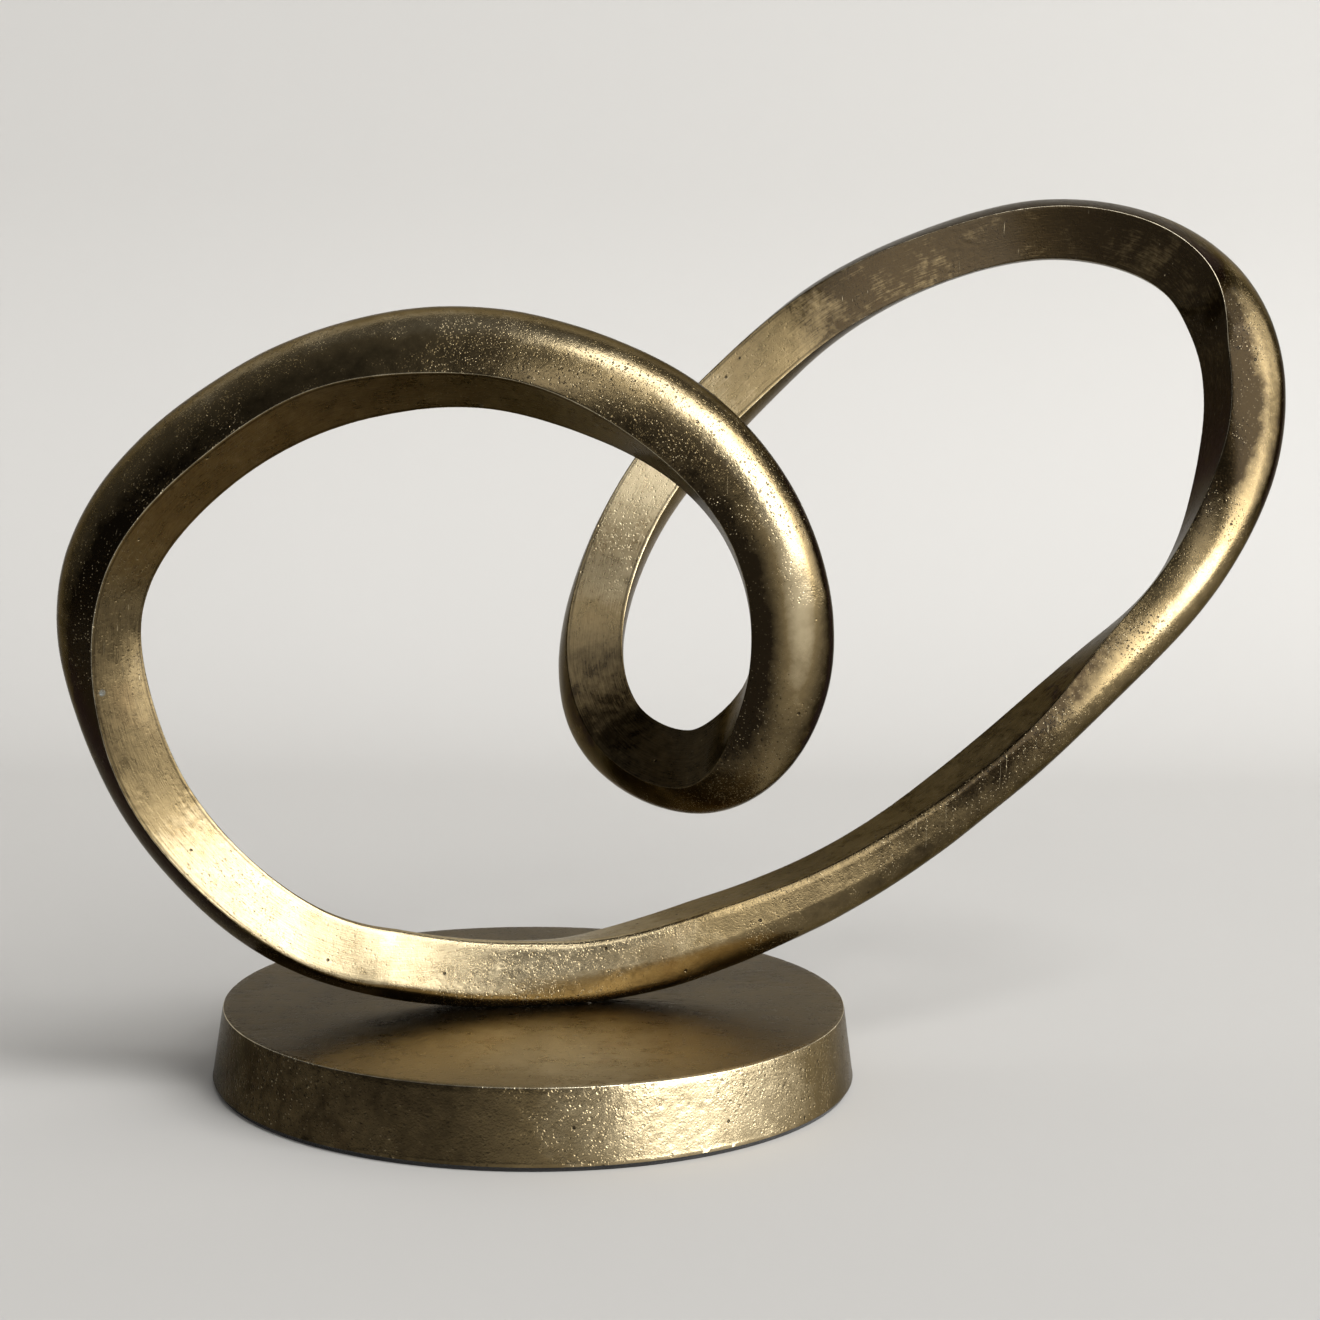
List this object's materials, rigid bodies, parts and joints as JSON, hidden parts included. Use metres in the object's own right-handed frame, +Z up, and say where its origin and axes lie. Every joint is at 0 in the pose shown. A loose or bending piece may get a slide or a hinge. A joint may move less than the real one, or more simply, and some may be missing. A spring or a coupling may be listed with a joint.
{
  "type": "abstract knot sculpture",
  "caption": "Tabletop sculpture of a thick cast-metal ribbon looped into an open knot, flat on its inner side and rounded outside, standing on a round drafted metal base.",
  "frame": {"origin": "middle of the round base, at the underside of its pad", "axes": "+Z up along the base's axis; -Y to the front, where the knot is seen as two open loops; +X to the large raised loop"},
  "size_m": [0.4003, 0.2025, 0.2801],
  "materials": {
    "ribbon_brass": "satin antique cast, brushed on the flat side",
    "weld_brass": "dressed weld, brushed",
    "base_brass": "satin brushed cast",
    "pad_black": "soft matt",
    "screw_steel": "zinc plated"
  },
  "bodies": {
    "root": {"left_loop_casting": "ribbon_brass", "back_link_casting": "ribbon_brass", "right_loop_casting": "ribbon_brass", "seat_casting": "ribbon_brass", "weld_seams": "weld_brass", "base_disc": "base_brass", "base_pad": "pad_black", "base_screws": "screw_steel", "washers": "screw_steel"}
  },
  "joints": []
}
